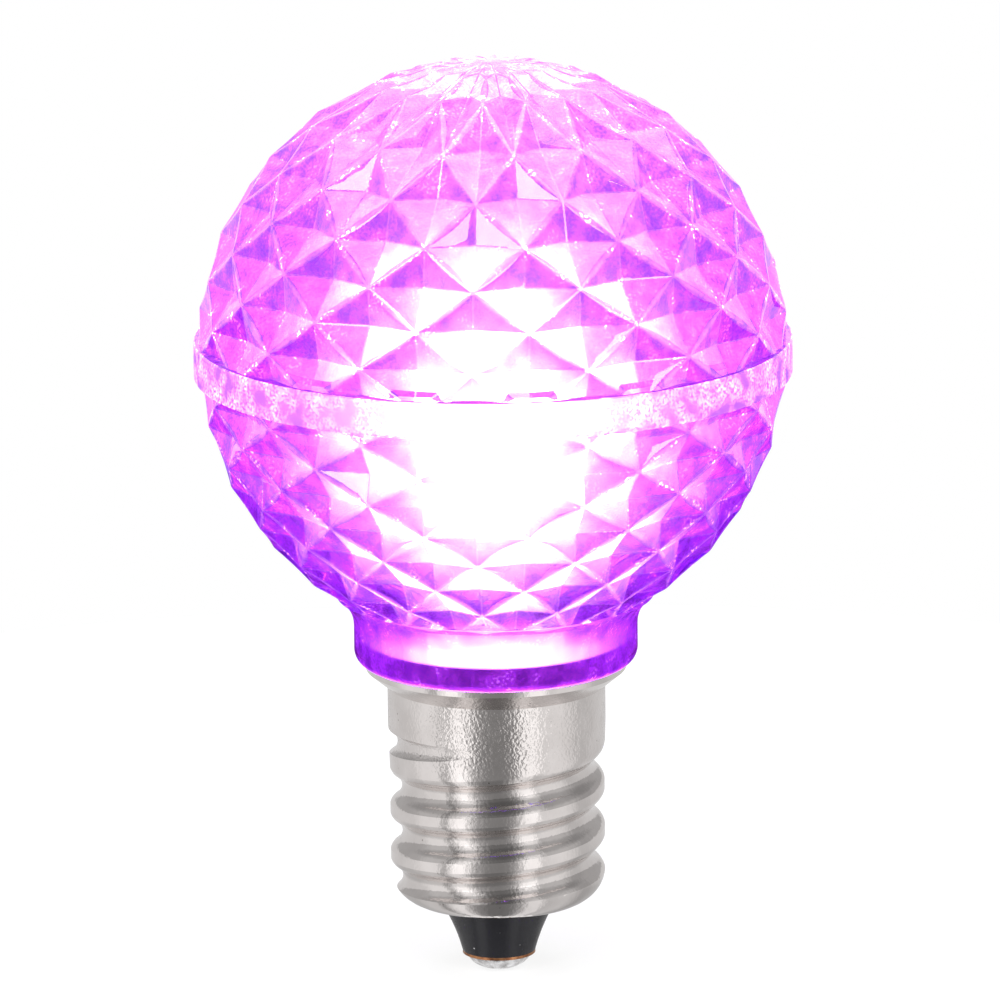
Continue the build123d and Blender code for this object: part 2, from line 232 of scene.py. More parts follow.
def build_grain_group():
    """Fine grain: a value that changes over the surface, with its size in millimetres along X, Y and Z."""
    tree, start, end = new_group(
        "Fine grain", "Value", Vector=(0, 0, 0), Size=(1, 1, 1), Detail=3.0, Low=0.0, High=1.0
    )
    in_mm = scaled(tree, start.outputs["Vector"], 1 / MM)
    sized = place(tree, "ShaderNodeVectorMath", {0: in_mm, 1: start.outputs["Size"]}, operation="DIVIDE")
    fields = {"Vector": sized.outputs[0], "Scale": 1.0, "Detail": start.outputs["Detail"]}
    noise = place(tree, "ShaderNodeTexNoise", fields).outputs[0]
    fields = {"Value": noise, "From Min": NOISE_RANGE[0], "From Max": NOISE_RANGE[1]}
    fields |= {"To Min": start.outputs["Low"], "To Max": start.outputs["High"]}
    tree.links.new(place(tree, "ShaderNodeMapRange", fields).outputs[0], end.inputs["Value"])
    return tree


def build_speckle_group():
    """Specks: a mask of round spots, by their spacing in millimetres, their radius in it and how many show."""
    tree, start, end = new_group("Specks", "Mask", Vector=(0, 0, 0), Spacing=1.0, Radius=0.2, Share=0.5)
    scale = math_node(tree, "DIVIDE", 1 / MM, start.outputs["Spacing"])
    cells = place(tree, "ShaderNodeTexVoronoi", {"Vector": start.outputs["Vector"], "Scale": scale})
    core = math_node(tree, "MULTIPLY", start.outputs["Radius"], SPECK_CORE)
    fields = {"Value": cells.outputs["Distance"], "From Min": start.outputs["Radius"], "From Max": core}
    spot = place(tree, "ShaderNodeMapRange", fields, interpolation_type="SMOOTHSTEP")
    pick = place(tree, "ShaderNodeSeparateColor", {0: cells.outputs["Color"]})
    chosen = math_node(tree, "LESS_THAN", pick.outputs[0], start.outputs["Share"])
    tree.links.new(math_node(tree, "MULTIPLY", spot.outputs[0], chosen), end.inputs["Mask"])
    return tree


GROUPS = {}


def group(tree, name, where, **inputs):
    """A shared effect placed in a material."""
    return place(tree, "ShaderNodeGroup", {"Vector": where, **inputs}, node_tree=GROUPS[name]).outputs[0]


def grain(tree, where, size, **inputs):
    """Fine grain of one size in millimetres, or of one along each axis."""
    sizes = size if isinstance(size, tuple) else (size, size, size)
    return group(tree, "grain", where, Size=sizes, **inputs)


def new_material(name, **inputs):
    """A material with one Principled shader, and the object's own coordinates."""
    material = bpy.data.materials.new(name)
    material.use_nodes = True
    tree = material.node_tree
    tree.nodes.clear()
    shader = tree.nodes.new("ShaderNodeBsdfPrincipled")
    for key, value in inputs.items():
        shader.inputs[key.replace("_", " ")].default_value = value
    place(tree, "ShaderNodeOutputMaterial", {"Surface": shader.outputs[0]})
    where = place(tree, "ShaderNodeTexCoord").outputs["Object"]
    return material, tree, shader, where


def output_node(tree):
    """The material's output."""
    return next(node for node in tree.nodes if node.type == "OUTPUT_MATERIAL")


def show_mix(tree, share, first, second):
    """Shows the second shader in place of the first, by this share."""
    seen = place(tree, "ShaderNodeMixShader", {0: share, 1: first.outputs[0], 2: second.outputs[0]})
    tree.links.new(seen.outputs[0], output_node(tree).inputs["Surface"])


def set_colour(tree, shader, share, first, second):
    """Gives the shader a mix of two colours."""
    tree.links.new(mix_colour(tree, share, first, second), shader.inputs["Base Color"])


def set_rough(tree, shader, value, spread, least):
    """Gives the shader a roughness that follows a value."""
    tree.links.new(weigh(tree, value, spread, least), shader.inputs["Roughness"])


def bump(tree, shader, height, distance):
    """Raises the shader's surface by this height, in metres at full strength."""
    node = place(tree, "ShaderNodeBump", {"Height": height, "Distance": distance, "Strength": 1.0})
    tree.links.new(node.outputs[0], shader.inputs["Normal"])


def ramp(tree, value, stops):
    """A grey that follows a value, from stops of value and grey."""
    low, high = stops[0][0], stops[-1][0]
    peak = max(grey for _, grey in stops)
    share = place(tree, "ShaderNodeMapRange", {"Value": value, "From Min": low, "From Max": high})
    node = place(tree, "ShaderNodeValToRGB", {0: share.outputs[0]})
    points = node.color_ramp.elements
    while len(points) < len(stops):
        points.new(0.5)
    for point, (position, grey) in zip(points, stops):
        point.position = (position - low) / (high - low)
        point.color = (grey / peak, grey / peak, grey / peak, 1)
    return math_node(tree, "MULTIPLY", node.outputs[0], peak)


def height_ramp(tree, where, stops):
    """A value that follows the height above the skirt, from stops of height in millimetres and value."""
    z = place(tree, "ShaderNodeSeparateXYZ", {0: where}).outputs[2]
    return ramp(tree, math_node(tree, "MULTIPLY", z, 1 / MM), stops)


def face_mark(tree, name):
    """The value of this mark on each face."""
    return place(tree, "ShaderNodeAttribute", attribute_name=name).outputs["Fac"]


def finish_nodes(material, *names):
    """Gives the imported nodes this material."""
    for name in names:
        slots = NODES[name].data.materials
        slots.clear()
        slots.append(material)


def new_piece(name, bm, material):
    """An object with this surface, in this material."""
    mesh = bpy.data.meshes.new(name)
    bm.to_mesh(mesh)
    bm.free()
    mesh.materials.append(material)
    piece = bpy.data.objects.new(name, mesh)
    bpy.context.scene.collection.objects.link(piece)
    return piece


# Faceted globe


def facet_rings(s, crest_radius, heights):
    """One ring of points at each height: crests on the sphere, with a pit between each two crests."""
    half_pitch = pi / s.facet_count
    rise = heights[1] - heights[0]
    rings = []
    for row, height in enumerate(heights):
        crest, ahead, behind = [
            sqrt(max(crest_radius**2 - level**2, 0)) for level in (height, height + rise, height - rise)
        ]
        half_width = crest * sin(half_pitch)
        half_height = hypot((ahead - behind) / 2, rise)
        depth = s.facet_slope * half_width * half_height / hypot(half_width, half_height)
        flat = (crest * cos(half_pitch) + (ahead + behind) / 2) / 2
        pit = flat - depth * crest_radius / crest
        ring = []
        for step in range(2 * s.facet_count):
            turn = s.facet_turn + step * half_pitch
            reach = crest if (step + row) % 2 == 0 else pit
            ring.append(Vector((reach * sin(turn), -reach * cos(turn), height)))
        rings.append(ring)
    return rings


def list_facets(rings, petals=None, pole=None):
    """The facets as pairs that share a ridge: its two ends, then the other corners on each side."""
    points, pairs = {}, []
    for row, ring in enumerate(rings):
        for step, point in enumerate(ring):
            points[row, step] = point
    around = len(rings[0])
    for row in range(len(rings) - 1):
        for step in range(around):
            a, b = (row, (step - 1) % around), (row, step)
            d, c = (row + 1, (step - 1) % around), (row + 1, step)
            pairs.append((b, d, [a], [c]) if (step + row) % 2 == 0 else (a, c, [b], [d]))
    if pole is not None:
        low, high, tip = len(rings) - 1, len(rings), (len(rings) + 1, 0)
        points[tip] = pole
        for step, point in enumerate(petals):
            points[high, step] = point
        for step in range(low % 2, around, 2):
            before, after = (step - 1) % around, (step + 1) % around
            sides = [[(low, beside), (high, beside)] for beside in (before, after)]
            pairs.append(((low, step), (high, step), *sides))
            pairs.append(((high, step), tip, [(high, before)], [(high, after)]))
    return points, pairs


# A ridge's land: steps along it, lines across it, and the share of the ridge's height that it keeps
LAND_STEPS = 6
LAND_LINES = 7
LAND_CROWN = 0.42
# Light on the creases, where the ridges' light is 1
CREASE_LIGHT = 0.45
# Seed of the facets' dish
FACET_SEED = 16
# Values kept on the faces for the material
MARKS = ("land", "band", "seam", "inside", "joint", "frost", "throw")


def new_surface():
    """An empty surface whose faces can be marked."""
    bm = bmesh.new()
    for mark in MARKS:
        bm.faces.layers.float.new(mark)
    bm.faces.layers.int.new("bend")
    return bm


class FacetNet:
    """Dished facets with lens-shaped lands on their ridges and narrow creases in their valleys."""

    def __init__(self, bm, settings, points, pairs):
        self.bm, self.settings, self.points = bm, settings, points
        self.land = bm.faces.layers.float["land"]
        self.throw = bm.faces.layers.float["throw"]
        self.bend = bm.faces.layers.int["bend"]
        self.bends = 0
        self.chance = random.Random(FACET_SEED)
        self.valleys, self.corners = {}, {}
        for pair in pairs:
            self.add_pair(*pair)
        self.close_gaps()

    def add_pair(self, start, end, *sides):
        """Two facets and the land on the ridge between them."""
        p, q = self.points[start], self.points[end]
        edges = [self.facet_edge(p, q, *[self.points[key] for key in (side[0], side[-1])]) for side in sides]
        lines = [[] for _ in range(LAND_LINES)]
        for step, (near, far) in enumerate(zip(*edges)):
            ridge = p.lerp(q, step / LAND_STEPS)
            crown = (ridge - near.lerp(far, 0.5)) * LAND_CROWN
            for line, points in enumerate(lines):
                across = line / (LAND_LINES - 1)
                arch = 1 - (2 * across - 1) ** 2
                points.append(self.bm.verts.new(near.lerp(far, across) + crown * arch))
        self.bends += 1
        for strip, (line, after) in enumerate(zip(lines, lines[1:])):
            for step in range(LAND_STEPS):
                face = self.add_smooth(line[step], line[step + 1], after[step + 1], after[step])
                face[self.land] = 1 - abs((2 * strip + 1) / (LAND_LINES - 1) - 1)
        for side, curve in zip(sides, (lines[0], lines[-1])):
            self.add_facet([start, *side, end], curve)
        self.corners.setdefault(start, []).extend(line[0] for line in lines)
        self.corners.setdefault(end, []).extend(line[-1] for line in lines)

    def light_throw(self, spot, out):
        """How much of the lamps' light this facet bends towards level: 1 at most."""
        s = self.settings
        if spot.z > s.petal_rise:
            return s.petal_throw
        ray = (spot + Vector((0, 0, s.lamp_drop))).normalized()
        level = ray.dot(out)
        bent = s.index * (ray - out * level) + out * sqrt(max(1 - s.index**2 * (1 - level**2), 0))
        lift = math.asin(max(-1, min(1, bent.normalized().z)))
        return math.exp(-(((lift - s.throw_lift) / s.throw_spread) ** 2))

    def add_smooth(self, *corners):
        """A face that bends on with the faces beside it that belong to the same facet or land."""
        face = self.bm.faces.new(corners)
        face.smooth = True
        face[self.bend] = self.bends
        return face

    def add_facet(self, keys, curve):
        """One facet from the land's side to its other corners, set in from the valleys and a little dished."""
        feet = []
        for before, key, after in zip(keys, keys[1:], keys[2:]):
            v = self.points[key]
            one, two = [(self.points[other] - v).normalized() for other in (before, after)]
            middle = (one + two).normalized()
            inset = self.settings.valley_width / 2 / middle.cross(one).length
            feet.append(self.bm.verts.new(v + middle * inset))
            self.corners.setdefault(key, []).append(feet[-1])
        outline = [curve[0], *feet, curve[-1]]
        rim = [*reversed(feet), *curve]
        middle = sum((v.co for v in outline), Vector()) / len(outline)
        out = (outline[1].co - outline[0].co).cross(outline[-1].co - outline[0].co).normalized()
        self.bends += 1
        hub = self.bm.verts.new(middle + out * self.settings.dish * self.chance.uniform(-1, 1))
        throw = self.light_throw(middle, out if out.dot(middle) > 0 else -out)
        for n in range(len(rim)):
            face = self.add_smooth(rim[n - 1], rim[n], hub)
            face[self.throw] = throw
        for keys_pair, ends in zip(zip(keys, keys[1:]), zip(outline, outline[1:])):
            self.valleys.setdefault(frozenset(keys_pair), []).append(dict(zip(keys_pair, ends)))

    def facet_edge(self, p, q, by_p, by_q):
        """Points along a facet's side of the land, set in from the valleys at both ends."""
        s = self.settings
        along = (q - p).normalized()
        inward = (by_p - p) - along * (by_p - p).dot(along)
        inward.normalize()
        ends = []
        for side in ((by_p - p).normalized(), (by_q - q).normalized()):
            ends.append((s.valley_width / 2 + s.ridge_end / 2 * abs(side.dot(along))) / side.dot(inward))
        found = []
        for step in range(LAND_STEPS + 1):
            t = step / LAND_STEPS
            reach = ends[0] + ((q - p).length - ends[0] - ends[1]) * t
            width = s.ridge_end + (s.ridge_width - s.ridge_end) * 4 * t * (1 - t)
            found.append(p + along * reach + inward * width / 2)
        return found

    def close_gaps(self):
        """Fills the creases, the pits and the points where ridges meet."""
        for (one, two), sides in self.valleys.items():
            if len(sides) == 2:
                face = self.bm.faces.new((sides[0][one], sides[0][two], sides[1][two], sides[1][one]))
                face[self.land] = CREASE_LIGHT
        for key, corners in self.corners.items():
            if len(corners) > 2:
                face = self.bm.faces.new(self.in_turn(self.points[key], corners))
                face[self.land] = 1.0

    @staticmethod
    def in_turn(centre, corners):
        """The corners in order round the line from the globe's centre through this point."""
        out = centre.normalized()
        right = out.orthogonal().normalized()
        ahead = out.cross(right)
        return sorted(corners, key=lambda v: math.atan2((v.co - centre).dot(ahead), (v.co - centre).dot(right)))


# Tolerances in metres: points taken into a cut, points found on it, and points on the axis
CUT_MERGE = 1e-8
CUT_REACH = 1e-7
AXIS_REACH = 1e-9


def cut_level(bm, level, keep_above):
    """Cuts the facets at this height, and returns the edges of the cut."""
    geom = bm.verts[:] + bm.edges[:] + bm.faces[:]
    sides = {"clear_inner": keep_above, "clear_outer": not keep_above}
    bmesh.ops.bisect_plane(bm, geom=geom, dist=CUT_MERGE, plane_co=(0, 0, level), plane_no=(0, 0, 1), **sides)
    rim = [edge for edge in bm.edges if edge.is_boundary]
    return [edge for edge in rim if all(abs(v.co.z - level) < CUT_REACH for v in edge.verts)]


def turned_profile(bm, profile, around, smooth_steps, marks):
    """Turns a surface from this profile of radius and height, and returns its rings of points."""
    rings = []
    for radius, height in profile:
        steps = around if radius > AXIS_REACH else 1
        turns = [2 * pi * n / around for n in range(steps)]
        rings.append([bm.verts.new((radius * sin(turn), -radius * cos(turn), height)) for turn in turns])
    for index, (low, high) in enumerate(zip(rings, rings[1:])):
        for n in range(around):
            m = (n + 1) % around
            corners = (low[n], low[m], high[m], high[n]) if len(high) > 1 else (low[n], low[m], high[0])
            face = bm.faces.new(corners)
            face.smooth = index in smooth_steps
            for mark, steps in marks.items():
                face[bm.faces.layers.float[mark]] = float(index in steps)
    return rings


def fill_shelf(bm, cut, ring):
    """A flat face between the edges of a cut and a ring of points at its height."""
    edges = [bm.edges.get((ring[n - 1], ring[n])) for n in range(len(ring))]
    bmesh.ops.triangle_fill(bm, edges=cut + edges, use_beauty=True)


def arc(centre, radius, first, last, steps):
    """Points on an arc, with angles in degrees."""
    turns = [radians(first + (last - first) * n / steps) for n in range(steps + 1)]
    return [(centre[0] + radius * cos(turn), centre[1] + radius * sin(turn)) for turn in turns]


def even_heights(first, last, count):
    """Heights from first to last, evenly spaced."""
    return [first + (last - first) * row / (count - 1) for row in range(count)]


# Steps round and along the turned surfaces, and rows of facets
TURN_STEPS = 160
HOLLOW_STEPS = 40
ROUND_STEPS = 8
EDGE_STEPS = 3
DOME_ROWS = 8
BOWL_ROWS = 9
# Faces that meet at more than this angle keep a hard edge
SHARP_ANGLE = radians(35)
# Sizes of the globe's details
SUNBURST_RADIUS = 5.9 * MM
SUNBURST_BEND = 3.0 * MM
DOME_LOW_ROW = 0.3 * MM
TONGUE_WALL = 0.85 * MM
SEAM = 0.05 * MM
BAND_ROUND = 0.07 * MM
CROWN_INSET = 0.79 * MM
NECK_ROUND = 2.0 * MM
NECK_BORE = 5.0 * MM
COLLAR_RADIUS = 7.67 * MM
COLLAR_HEIGHT = 2.1 * MM
COLLAR_BASE = 1.25 * MM
COLLAR_EDGE = 0.8 * MM
BOARD_LEDGE = 1.45 * MM
SPIGOT_BORE = 4.3 * MM
SPIGOT_RADIUS = 5.5 * MM
SPIGOT_END = -1.8 * MM


def globe_piece(name, bm, centre, material, node):
    """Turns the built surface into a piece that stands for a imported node."""
    bmesh.ops.recalc_face_normals(bm, faces=bm.faces)
    bmesh.ops.translate(bm, verts=bm.verts, vec=(0, 0, centre))
    bend = bm.faces.layers.int["bend"]
    for edge in bm.edges:
        one_bend = len({face[bend] for face in edge.link_faces}) == 1
        edge.smooth = one_bend and edge.calc_face_angle(0) < SHARP_ANGLE
    open_edges = sum(1 for edge in bm.edges if len(edge.link_faces) != 2)
    if open_edges:
        raise RuntimeError(f"{name} has {open_edges} open edges")
    piece = new_piece(name, bm, material)
    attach(piece, "root")
    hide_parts(node)


def globe_centre_height(s):
    """Height of the globe's centre over the skirt, from the neck's curve."""
    reach = s.radius - s.bowl_step + NECK_ROUND
    return COLLAR_BASE + COLLAR_HEIGHT + sqrt(reach**2 - (COLLAR_RADIUS + NECK_ROUND) ** 2)


# Light in the plastic by height over the skirt in millimetres: in the facets, and the crown's pale light
GLOW_LEVELS = [
    (0, 0.0), (1.2, 3.2), (1.45, 2.8), (1.7, 0.8), (3.2, 0.8), (3.9, 1.3), (5.2, 1.0), (7.2, 0.4),
    (11, 0.55), (14, 0.95), (17, 1.3), (20, 1.5), (30, 1.55), (32.6, 2.2), (34.4, 3.0),
]
CROWN_LEVELS = [(21, 0.0), (26, 0.2), (29, 0.9), (31, 2.5), (34.4, 3.0)]
# Weights of that painted light, a factor and an offset each: by the grain, by a facet's throw, on painted glints,
# ridges, band and seam
MOTTLE = (0.5, 0.75)
TONE = (0.5, 0.45)
THROWN = (1.6, 0.75)
CROWN = (1.0, 0.2)
GLINTS = (4.0, -2.8)
SPARK = (5.0, 0.3)
SHINE = (0.4, 0.2)
RING = (3.6, 0.3)
WELD = (2.4, 0.3)
# What is left of it in reflections, and from inside the plastic
MIRRORED = (-0.95, 1.0)
BEHIND = (-0.7, 1.0)


def stain_wall(tree, s):
    """Fills the plastic with its stain, which takes its share over one wall's depth."""
    losses = [-math.log(share) for share in s.stain]
    passed = [1 - loss / max(losses) for loss in losses]
    density = max(losses) / s.wall
    stained = place(tree, "ShaderNodeVolumeAbsorption", {"Color": rgba(passed), "Density": density})
    tree.links.new(stained.outputs[0], output_node(tree).inputs["Volume"])


def light_in_plastic(tree, s, where, patch, fine):
    """The lamps' light painted into the plastic: deep in the facets, and pale in painted glints, on the crown, the
    ridges and the band.
    """
    land, band, seam, throw = [face_mark(tree, mark) for mark in ("land", "band", "seam", "throw")]
    level = height_ramp(tree, where, GLOW_LEVELS)
    crown = height_ramp(tree, where, CROWN_LEVELS)
    grains = math_node(tree, "MULTIPLY", patch, fine)
    # Small bright spots where both grains peak: painted glints in the glow
    glints = math_node(tree, "MAXIMUM", weigh(tree, grains, *GLINTS), 0.0)
    cloud = math_node(tree, "MULTIPLY", weigh(tree, patch, *TONE), weigh(tree, fine, *MOTTLE))
    body = chain(tree, "MULTIPLY", cloud, weigh(tree, throw, *THROWN), level)
    pale = chain(
        tree,
        "ADD",
        chain(tree, "MULTIPLY", glints, weigh(tree, land, *SPARK), level),
        chain(tree, "MULTIPLY", crown, cloud, weigh(tree, throw, *CROWN)),
        chain(tree, "MULTIPLY", land, weigh(tree, level, *SHINE), cloud),
        math_node(tree, "MULTIPLY", band, weigh(tree, grains, *RING)),
        math_node(tree, "MULTIPLY", seam, weigh(tree, grains, *WELD)),
    )
    both = {0: scaled(tree, s.glow, body), 1: scaled(tree, s.glow_pale, pale)}
    return place(tree, "ShaderNodeVectorMath", both, operation="ADD").outputs[0]


def violet_plastic(s):
    """Clear violet plastic with the lamps' light painted into it, painted glints, and a fine haze on its inner
    face.
    """
    material, tree, shader, where = new_material(
        "Clear violet plastic", IOR=s.index, Transmission_Weight=1.0, Emission_Strength=1.0
    )
    material.cycles.emission_sampling = "NONE"
    patch = grain(tree, where, (0.8, 0.8, 1.0), Detail=0.0)
    fine = grain(tree, where, 0.15, Detail=0.0)
    seam, inside, joint, frost = [face_mark(tree, mark) for mark in ("seam", "inside", "joint", "frost")]
    tint = mix_colour(tree, patch, rgba(s.tint_deep), rgba(s.tint))
    set_colour(tree, shader, joint, tint, WHITE)
    stain_wall(tree, s)
    speck = place(tree, "ShaderNodeTexWhiteNoise", {0: where}).outputs["Value"]
    hazy = math_node(tree, "MULTIPLY", inside, math_node(tree, "GREATER_THAN", speck, s.haze_gap))
    rough = math_node(tree, "MULTIPLY", chain(tree, "MAXIMUM", hazy, seam, frost), s.haze)
    tree.links.new(rough, shader.inputs["Roughness"])
    mirrored = place(tree, "ShaderNodeLightPath").outputs["Is Glossy Ray"]
    behind = place(tree, "ShaderNodeNewGeometry").outputs["Backfacing"]
    outer = math_node(tree, "SUBTRACT", 1.0, inside)
    shown = chain(tree, "MULTIPLY", weigh(tree, mirrored, *MIRRORED), weigh(tree, behind, *BEHIND), outer)
    light = light_in_plastic(tree, s, where, patch, fine)
    tree.links.new(scaled(tree, light, shown), shader.inputs["Emission Color"])
    return material


class BulbGlobe(bpy.types.Operator):
    """Builds the faceted dome and bowl in clear violet plastic"""

    bl_idname = "bulb.globe"
    bl_label = "Faceted globe"

    def execute(self, context):
        s = context.scene.bulb_globe
        material = violet_plastic(s)
        centre = globe_centre_height(s)
        hollow = s.radius - s.wall
        tongue = hollow + TONGUE_WALL
        self.build_dome(s, material, centre, hollow, tongue + SEAM)
        self.build_bowl(s, material, centre, hollow, tongue)
        return {"FINISHED"}

    def build_dome(self, s, material, centre, hollow, recess):
        """The upper shell, with its sunburst and its band."""
        bm = new_surface()
        heights = even_heights(DOME_LOW_ROW, sqrt(s.radius**2 - SUNBURST_RADIUS**2), DOME_ROWS)
        dome_rings = facet_rings(s, s.radius, heights)
        share = SUNBURST_BEND / SUNBURST_RADIUS
        bend_height = sqrt(s.radius**2 - SUNBURST_BEND**2)
        petals = [Vector((point.x * share, point.y * share, bend_height)) for point in dome_rings[-1]]
        FacetNet(bm, s, *list_facets(dome_rings, petals, Vector((0, 0, s.radius))))
        cut = cut_level(bm, s.band_above, True)
        band = s.radius + s.band_proud
        top_turn = arc((band - BAND_ROUND, s.band_above - BAND_ROUND), BAND_ROUND, 90, 0, EDGE_STEPS)
        low_turn = arc((band - BAND_ROUND, BAND_ROUND - s.band_below), BAND_ROUND, 0, -90, EDGE_STEPS)
        start = math.degrees(math.asin(s.band_above / hollow))
        inside = arc((0, 0), hollow, start, 90, HOLLOW_STEPS)
        profile = top_turn + low_turn + [(recess, -s.band_below), (recess, s.band_above)] + inside
        first_inside = len(profile) - len(inside)
        outside = set(range(len(top_turn) + len(low_turn) - 1))
        edges = outside - {len(top_turn) - 1}
        hollow_steps = set(range(first_inside, len(profile)))
        smooth = outside | hollow_steps | {first_inside - 2}
        joint = {first_inside - 3, first_inside - 2, first_inside - 1}
        marks = {"band": edges, "seam": outside - edges, "inside": hollow_steps, "joint": joint}
        rings = turned_profile(bm, profile, TURN_STEPS, smooth, marks)
        fill_shelf(bm, cut, rings[0])
        globe_piece("faceted_dome", bm, centre, material, "globe_dome")

    def build_bowl(self, s, material, centre, hollow, tongue):
        """The lower shell, with its tongue, neck, collar and spigot."""
        bm = new_surface()
        crest = s.radius - s.bowl_step
        reach = crest + NECK_ROUND
        neck_axis = COLLAR_RADIUS + NECK_ROUND
        neck_radius = neck_axis * crest / reach
        collar_top = COLLAR_BASE + COLLAR_HEIGHT - centre
        neck_height = collar_top * crest / reach
        crown = neck_radius - CROWN_INSET
        heights = even_heights(0, -sqrt(crest**2 - crown**2), BOWL_ROWS)
        FacetNet(bm, s, *list_facets(facet_rings(s, crest, heights)))
        top_cut = cut_level(bm, -s.band_below, False)
        low_cut = cut_level(bm, neck_height, True)
        start = math.degrees(math.asin((s.band_above - SEAM) / hollow))
        end = -math.degrees(math.acos(NECK_BORE / hollow))
        inside = arc((0, 0), hollow, start, end, HOLLOW_STEPS)
        lean = math.degrees(math.atan2(collar_top, neck_axis))
        neck = arc((neck_axis, collar_top), NECK_ROUND, 180, 180 + lean, ROUND_STEPS)
        foot_axis = (COLLAR_RADIUS - COLLAR_EDGE, COLLAR_BASE + COLLAR_EDGE - centre)
        foot = arc(foot_axis, COLLAR_EDGE, -90, 0, ROUND_STEPS)
        lower = [
            (NECK_BORE, BOARD_LEDGE - centre),
            (SPIGOT_BORE, BOARD_LEDGE - centre),
            (SPIGOT_BORE, SPIGOT_END - centre),
            (SPIGOT_RADIUS, SPIGOT_END - centre),
            (SPIGOT_RADIUS, COLLAR_BASE - centre),
        ]
        profile = [(tongue, -s.band_below), (tongue, s.band_above - SEAM)] + inside + lower + foot + neck
        smooth = set(range(len(profile)))
        bore = len(inside) + 1
        marks = {"inside": set(range(2, bore + 1)), "joint": {0, 1}, "frost": {bore}}
        rings = turned_profile(bm, profile, TURN_STEPS, smooth, marks)
        fill_shelf(bm, top_cut, rings[0])
        fill_shelf(bm, low_cut, rings[-1])
        globe_piece("faceted_bowl", bm, centre, material, "globe_bowl")


# Screw base


# The shell's roughness, and the depth of its fine grain, by height over the skirt in millimetres
SHELL_DULL = [(-12.2, 0.06), (-3.6, 0.05), (-2.6, 0.08), (0, 0.08), (1.3, 0.06)]
SHELL_GRAIN = [(-12.2, 0.3), (-4.2, 0.25), (-2.8, 1.0), (-0.2, 1.0), (0.2, 0.2), (1.3, 0.2)]
# Depth of the shell's soft waves, where its fine grain is 1, and strength of its specks
SHELL_WAVES = 0.3
SHELL_SPECKS = 0.6


class BulbShell(bpy.types.Operator):
    """Finishes the plated metal shell"""

    bl_idname = "bulb.shell"
    bl_label = "Plated shell"

    def execute(self, context):
        s = context.scene.bulb_base
        material, tree, shader, where = new_material("Nickel plate", Metallic=1.0)
        waves = grain(tree, where, 1.4)
        fine = grain(tree, where, 0.17, Detail=1.0)
        specks = group(tree, "specks", where, Spacing=0.6, Radius=0.12, Share=0.25)
        shade = mix_colour(tree, waves, rgba(s.nickel_dark), rgba(s.nickel))
        worn = math_node(tree, "MULTIPLY", specks, SHELL_SPECKS)
        set_colour(tree, shader, worn, shade, rgba(s.nickel_worn))
        set_rough(tree, shader, fine, spread=0.03, least=height_ramp(tree, where, SHELL_DULL))
        relief = math_node(tree, "MULTIPLY", fine, height_ramp(tree, where, SHELL_GRAIN))
        bump(tree, shader, weigh(tree, waves, SHELL_WAVES, relief), distance=0.014 * MM)
        finish_nodes(material, "screw_shell")
        return {"FINISHED"}


class BulbContact(bpy.types.Operator):
    """Finishes the black insulator, the copper eyelet and the solder tip"""

    bl_idname = "bulb.contact"
    bl_label = "Insulator and contact"

    def execute(self, context):
        s = context.scene.bulb_base
        self.finish_insulator(s)
        self.finish_copper(s)
        self.finish_solder(s)
        return {"FINISHED"}

    def finish_insulator(self, s):
        """Glossy black with pale dust."""
        material, tree, shader, where = new_material("Black insulator", IOR=1.52, Specular_IOR_Level=0.25)
        dust = group(tree, "specks", where, Spacing=0.5, Radius=0.13, Share=0.3)
        smear = grain(tree, where, 0.8)
        set_colour(tree, shader, dust, rgba(s.insulator), rgba(s.dust))
        set_rough(tree, shader, smear, spread=0.14, least=0.14)
        bump(tree, shader, math_node(tree, "ADD", smear, dust), distance=0.006 * MM)
        finish_nodes(material, "cap_insulator")

    def finish_copper(self, s):
        """Bare copper, a little stained."""
        material, tree, shader, where = new_material("Bare copper", Metallic=1.0)
        stain = grain(tree, where, 0.4)
        set_colour(tree, shader, stain, rgba(s.copper_dark), rgba(s.copper))
        set_rough(tree, shader, stain, spread=0.2, least=0.2)
        finish_nodes(material, "contact_eyelet")

    def finish_solder(self, s):
        """Scuffed tin solder."""
        material, tree, shader, where = new_material("Tin solder", Metallic=1.0)
        scuff = grain(tree, where, (0.12, 0.5, 0.2))
        blotch = grain(tree, where, 0.5)
        set_colour(tree, shader, blotch, rgba(s.solder_dark), rgba(s.solder))
        set_rough(tree, shader, scuff, spread=0.25, least=0.22)
        bump(tree, shader, math_node(tree, "ADD", scuff, blotch), distance=0.02 * MM)
        finish_nodes(material, "contact_solder", "board_solder")


# Light source and what is under it


# Brightness of the boards by height over the skirt in millimetres, and the least that counts as lit
BOARD_LEVELS = [(1.3, 0.0), (2.3, 0.0), (2.34, 1.0), (3.6, 0.6), (6.5, 0.1), (8.0, 1.0), (20.0, 1.0)]
LIT_LEAST = 0.01


